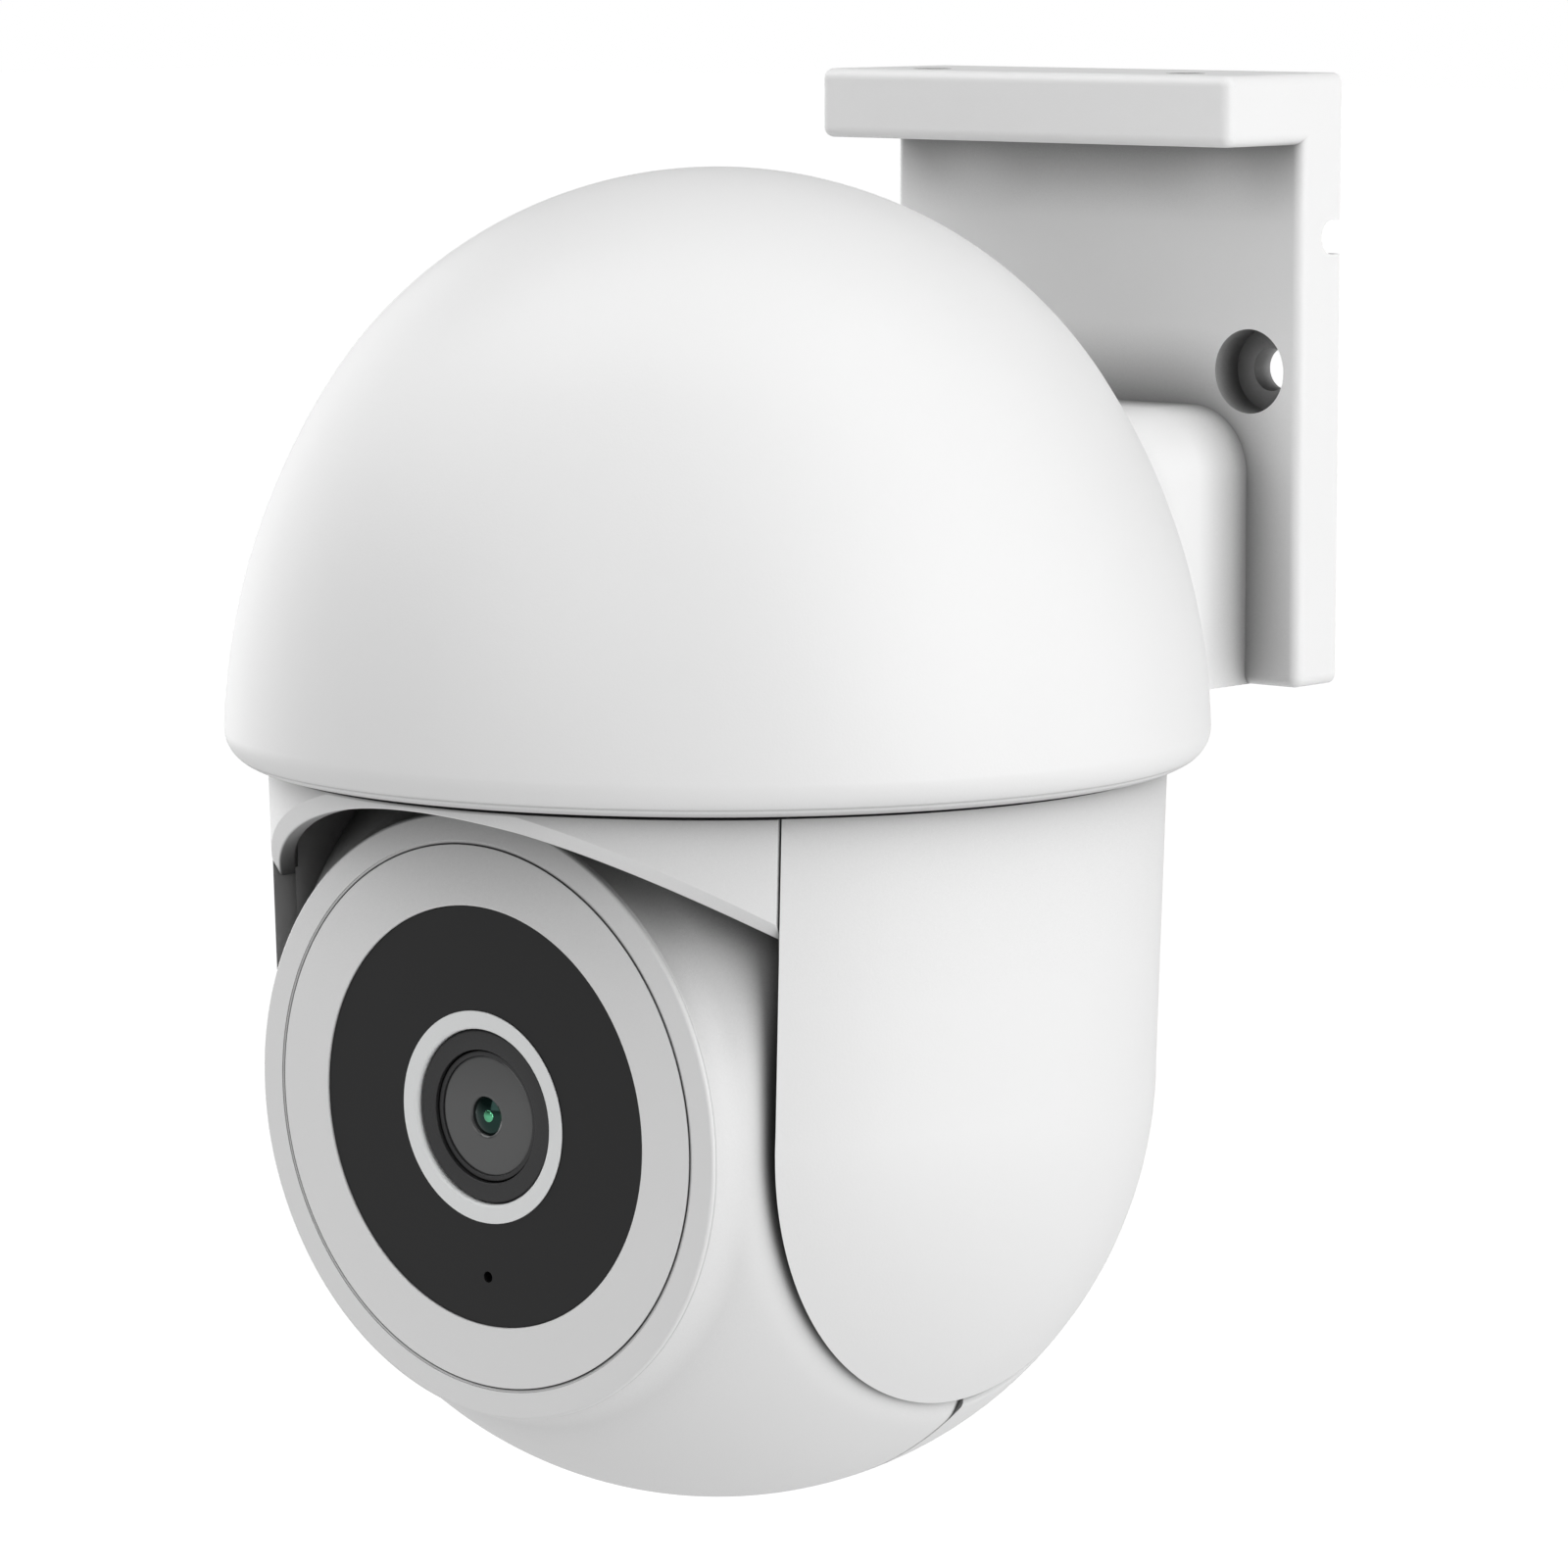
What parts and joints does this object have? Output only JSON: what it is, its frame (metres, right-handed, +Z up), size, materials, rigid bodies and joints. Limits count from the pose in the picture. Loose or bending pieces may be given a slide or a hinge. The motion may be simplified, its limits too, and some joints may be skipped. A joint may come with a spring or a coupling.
{
  "type": "pan and tilt security camera",
  "caption": "Outdoor pan and tilt security camera: a domed cover on an L-shaped wall bracket, with a rotating yoke that carries a tilting ball head behind a round black lens window.",
  "frame": {"origin": "midway between the two wall screw holes, on the back face of the wall plate", "axes": "+Y into the wall, -Y the way the camera looks at rest, +Z up, X along the wall"},
  "size_m": [0.1049, 0.1242, 0.1511],
  "materials": {
    "white_plastic": "fine satin moulded ABS, slightly textured",
    "bezel_grey": "light grey moulded ring, satin",
    "black_window": "black infrared-passing acrylic, polished",
    "dark_plastic": "dark glass-filled plastic, fine texture",
    "bearing_plastic": "natural acetal",
    "chassis_plastic": "grey glass-filled plastic",
    "lens_glass": "coated optical glass, green coating glint",
    "steel": "zinc plated steel",
    "motor_steel": "plated motor can",
    "circuit_board": "green solder mask on glass-epoxy",
    "chip": "black epoxy package",
    "aluminium": "bare extruded aluminium",
    "copper_film": "copper film antenna on polyimide",
    "connector_plastic": "natural nylon",
    "led_lens": "dark tinted lens",
    "rubber": "black silicone rubber"
  },
  "bodies": {
    "mount": {"wall_bracket": "white_plastic", "dome_cover": "white_plastic", "neck_screws": "steel", "cable_grommet": "rubber", "chassis_plate": "chassis_plastic", "chassis_screws": "steel", "pan_bush": "bearing_plastic", "pan_motor": "motor_steel", "pan_motor_screws": "steel", "main_board": "circuit_board", "main_board_screws": "steel", "processor_chip": "chip", "heat_sink": "aluminium", "wifi_antenna": "copper_film", "board_connectors": "connector_plastic"},
    "pan_housing": {"pan_frame": "chassis_plastic", "housing_shell": "white_plastic", "right_side_cover": "white_plastic", "left_side_cover": "white_plastic", "pan_gear": "bearing_plastic", "pan_retaining_ring": "bearing_plastic", "frame_screws": "steel", "right_trunnion": "bearing_plastic", "right_trunnion_screws": "steel", "left_trunnion": "bearing_plastic", "left_trunnion_screws": "steel", "tilt_gear": "bearing_plastic"},
    "camera_head": {"head_front_shell": "white_plastic", "head_rear_shell": "white_plastic", "head_screws": "steel", "head_seal": "rubber", "right_tilt_bush": "bearing_plastic", "left_tilt_bush": "bearing_plastic", "tilt_motor": "motor_steel", "tilt_motor_screws": "steel", "face_bezel": "white_plastic", "front_window": "black_window", "lens_trim_ring": "bezel_grey", "lens_cowl": "dark_plastic", "lens_barrel": "dark_plastic", "front_lens": "lens_glass", "rear_lens": "lens_glass", "lens_holder": "dark_plastic", "image_sensor": "chip", "sensor_board": "circuit_board", "sensor_board_screws": "steel", "optics_frame": "dark_plastic", "optics_screws": "steel", "infrared_board": "circuit_board", "infrared_leds": "led_lens", "microphone": "chip"},
    "pan_motor_rotor": {"pan_pinion": "bearing_plastic", "pan_motor_shaft": "steel"},
    "tilt_motor_rotor": {"tilt_pinion": "bearing_plastic", "tilt_motor_shaft": "steel"}
  },
  "joints": [
    {"name": "pan", "type": "hinge", "parent": "mount", "child": "pan_housing", "pos_m": [0, -0.0717, -0.0712], "axis": [0, 0, 1], "range_deg": [-170, 170]},
    {"name": "tilt", "type": "hinge", "parent": "pan_housing", "child": "camera_head", "pos_m": [0, -0.0717, -0.0712], "axis": [1, 0, 0], "range_deg": [-12.2, 87.8]},
    {"name": "pan_motor_spin", "type": "hinge", "parent": "mount", "child": "pan_motor_rotor", "pos_m": [0, -0.0948, -0.015], "axis": [0, 0, 1], "range_deg": [-1134, 1134]},
    {"name": "tilt_motor_spin", "type": "hinge", "parent": "camera_head", "child": "tilt_motor_rotor", "pos_m": [0, -0.05411, -0.07052], "axis": [1, 0, 0], "range_deg": [-74, 528]}
  ],
  "couplings": [
    {"joint": "pan_motor_spin", "follows": "pan", "ratio": -6.6667},
    {"joint": "tilt_motor_spin", "follows": "tilt", "ratio": 6}
  ]
}
